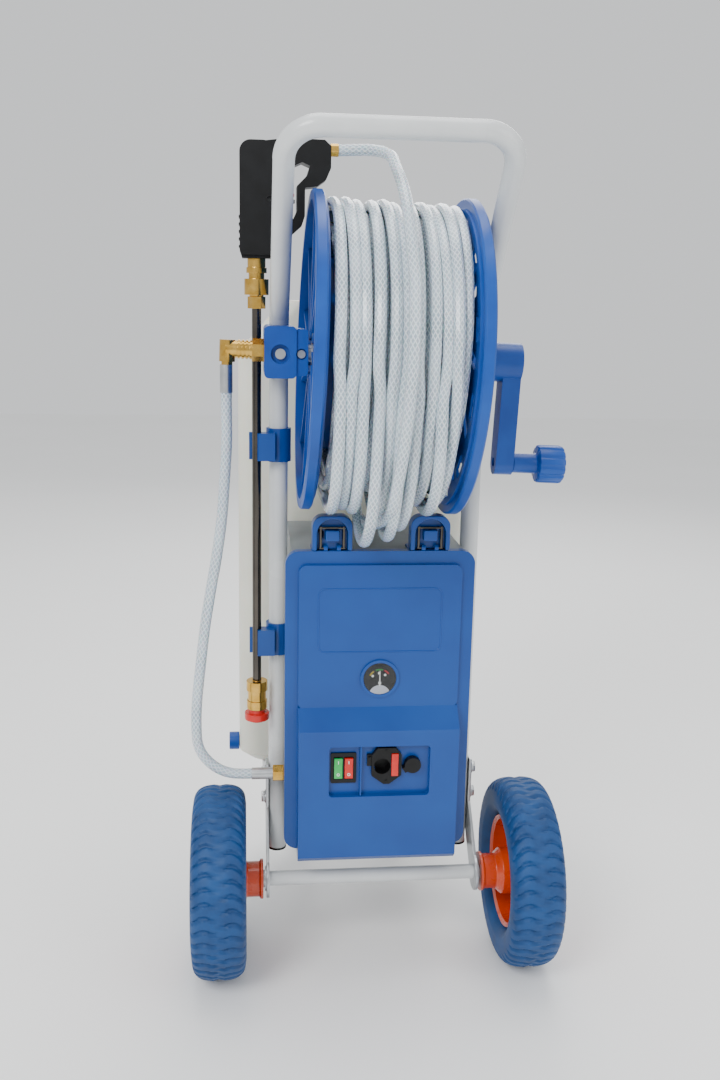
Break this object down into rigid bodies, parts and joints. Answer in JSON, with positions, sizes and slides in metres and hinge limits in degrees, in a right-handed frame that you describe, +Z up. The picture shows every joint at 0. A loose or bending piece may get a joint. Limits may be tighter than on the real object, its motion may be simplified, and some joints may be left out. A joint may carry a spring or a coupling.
{
  "type": "pressure washer",
  "caption": "Two-wheeled battery pressure washer with a hose reel, pump box with hinged cover, rear water tank, and a clipped-on trigger gun and lance.",
  "frame": {"origin": "on the floor, at the middle of the footprint of the solid parts without the hoses", "axes": "+X to the right as the user faces the controls, +Y away from the user towards the tank, +Z up"},
  "size_m": [0.4975, 0.536, 1.1187],
  "materials": {
    "white_tube": "gloss",
    "black_plastic": "matt",
    "zinc_steel": "satin",
    "blue_tyre": "matt",
    "orange_rim": "gloss",
    "blue_plastic": "satin",
    "white_hose": "satin",
    "brass": "machined",
    "grey_housing": "satin",
    "white_needle": "matt",
    "green_rocker": "gloss",
    "red_plastic": "gloss",
    "natural_tank": "matt",
    "grey_plastic": "matt",
    "chrome_lance": "polished"
  },
  "bodies": {
    "trolley": {"upright_left": "white_tube", "upright_right": "white_tube", "handle_bow": "white_tube", "tube_caps": "black_plastic", "lower_crossbar": "white_tube", "axle_tube": "white_tube", "axle_bracket_left": "zinc_steel", "axle_bracket_right": "zinc_steel", "axle_rod": "zinc_steel", "axle_washers": "zinc_steel", "axle_nuts": "zinc_steel", "shelf_frame": "white_tube", "stand_feet": "black_plastic", "bearing_block_left": "blue_plastic", "bearing_block_right": "blue_plastic", "bearing_screws": "zinc_steel", "hose_loose": "white_hose", "hose_tail": "white_hose", "swivel_joint": "brass", "elbow": "brass", "feed_hose": "white_hose", "outlet_fitting": "brass", "housing": "grey_housing", "battery": "black_plastic", "pump": "black_plastic", "control_board": "black_plastic", "cover_pin": "zinc_steel", "latch_plates": "blue_plastic", "water_tank": "natural_tank", "lance_clips": "blue_plastic"},
    "gun_and_lance": {"gun_body": "black_plastic", "gun_fittings": "brass", "lance": "chrome_lance"},
    "wheel_left": {"tyre_left": "blue_tyre", "rim_left": "orange_rim"},
    "wheel_right": {"tyre_right": "blue_tyre", "rim_right": "orange_rim"},
    "reel": {"reel_shaft": "zinc_steel", "reel_drum": "blue_plastic", "flange_left": "blue_plastic", "flange_right": "blue_plastic", "crank_arm": "blue_plastic", "hose_winding": "white_hose"},
    "crank_handle": {"crank_knob": "blue_plastic"},
    "cover": {"front_cover": "blue_plastic", "gauge_bezel": "blue_plastic", "switch_frame": "black_plastic", "charge_socket": "black_plastic"},
    "bail_left": {"latch_bail_left": "zinc_steel"},
    "bail_right": {"latch_bail_right": "zinc_steel"},
    "needle": {"gauge_needle": "white_needle"},
    "green_rocker": {"rocker_green": "green_rocker"},
    "red_rocker": {"rocker_red": "red_plastic"},
    "inlet_rocker": {"socket_rocker": "red_plastic"},
    "knob": {"flow_knob": "black_plastic"},
    "filler_cap": {"tank_cap": "blue_plastic"},
    "drain_plug": {"drain_cap": "blue_plastic"},
    "trigger": {"gun_trigger": "grey_plastic"},
    "safety_catch": {"gun_latch": "red_plastic"},
    "nozzle": {"spray_nozzle": "red_plastic"}
  },
  "joints": [
    {"name": "wheel_left_spin", "type": "hinge", "parent": "trolley", "child": "wheel_left", "pos_m": [-0.2125, -0.082, 0.13], "axis": [1, 0, 0], "continuous": true},
    {"name": "wheel_right_spin", "type": "hinge", "parent": "trolley", "child": "wheel_right", "pos_m": [0.2125, -0.082, 0.13], "axis": [1, 0, 0], "continuous": true},
    {"name": "reel_spin", "type": "hinge", "parent": "trolley", "child": "reel", "pos_m": [0, -0.07, 0.851], "axis": [0.9994, 0, -0.0349], "continuous": true},
    {"name": "crank_knob_spin", "type": "hinge", "parent": "reel", "child": "crank_handle", "pos_m": [0.16086, -0.07, 0.7153], "axis": [0.9994, 0, -0.0349], "continuous": true},
    {"name": "cover_open", "type": "hinge", "parent": "trolley", "child": "cover", "pos_m": [0, -0.094, 0.183], "axis": [1, 0, 0], "range_deg": [0, 50]},
    {"name": "latch_bail_left_swing", "type": "hinge", "parent": "cover", "child": "bail_left", "pos_m": [-0.064, -0.096, 0.606], "axis": [1, 0, 0], "range_deg": [0, 70]},
    {"name": "latch_bail_right_swing", "type": "hinge", "parent": "cover", "child": "bail_right", "pos_m": [0.064, -0.096, 0.606], "axis": [1, 0, 0], "range_deg": [0, 70]},
    {"name": "gauge_needle_swing", "type": "hinge", "parent": "cover", "child": "needle", "pos_m": [0.001, -0.108, 0.425], "axis": [0, 1, 0], "range_deg": [-60, 60]},
    {"name": "rocker_green_tip", "type": "hinge", "parent": "cover", "child": "green_rocker", "pos_m": [-0.0538, -0.122, 0.312], "axis": [1, 0, 0], "range_deg": [0, 9]},
    {"name": "rocker_red_tip", "type": "hinge", "parent": "cover", "child": "red_rocker", "pos_m": [-0.0398, -0.122, 0.312], "axis": [1, 0, 0], "range_deg": [0, 9]},
    {"name": "socket_rocker_tip", "type": "hinge", "parent": "cover", "child": "inlet_rocker", "pos_m": [0.0215, -0.125, 0.317], "axis": [1, 0, 0], "range_deg": [0, 8]},
    {"name": "flow_knob_turn", "type": "hinge", "parent": "cover", "child": "knob", "pos_m": [0.0455, -0.121, 0.316], "axis": [0, 1, 0], "range_deg": [-140, 140]},
    {"name": "tank_cap_turn", "type": "hinge", "parent": "trolley", "child": "filler_cap", "pos_m": [-0.006, 0.201, 0.917], "axis": [0, 0, 1], "continuous": true},
    {"name": "drain_cap_turn", "type": "hinge", "parent": "trolley", "child": "drain_plug", "pos_m": [-0.186, 0.18, 0.225], "axis": [1, 0, 0], "continuous": true},
    {"name": "trigger_pull", "type": "hinge", "parent": "gun_and_lance", "child": "trigger", "pos_m": [-0.1445, -0.037, 1.04], "axis": [0, 1, 0], "range_deg": [-12, 0], "stiffness_Nm_per_rad": 0.8, "springref_deg": 5.73},
    {"name": "safety_catch_turn", "type": "hinge", "parent": "trigger", "child": "safety_catch", "pos_m": [-0.1305, -0.037, 1.041], "axis": [0, 1, 0], "range_deg": [-6, 0]},
    {"name": "gun_unclip", "type": "slide", "parent": "trolley", "child": "gun_and_lance", "axis": [-1, 0, 0], "range_m": [0, 0.3]},
    {"name": "nozzle_twist", "type": "hinge", "parent": "gun_and_lance", "child": "nozzle", "pos_m": [-0.1605, -0.037, 0.366], "axis": [0, 0, 1], "continuous": true}
  ]
}
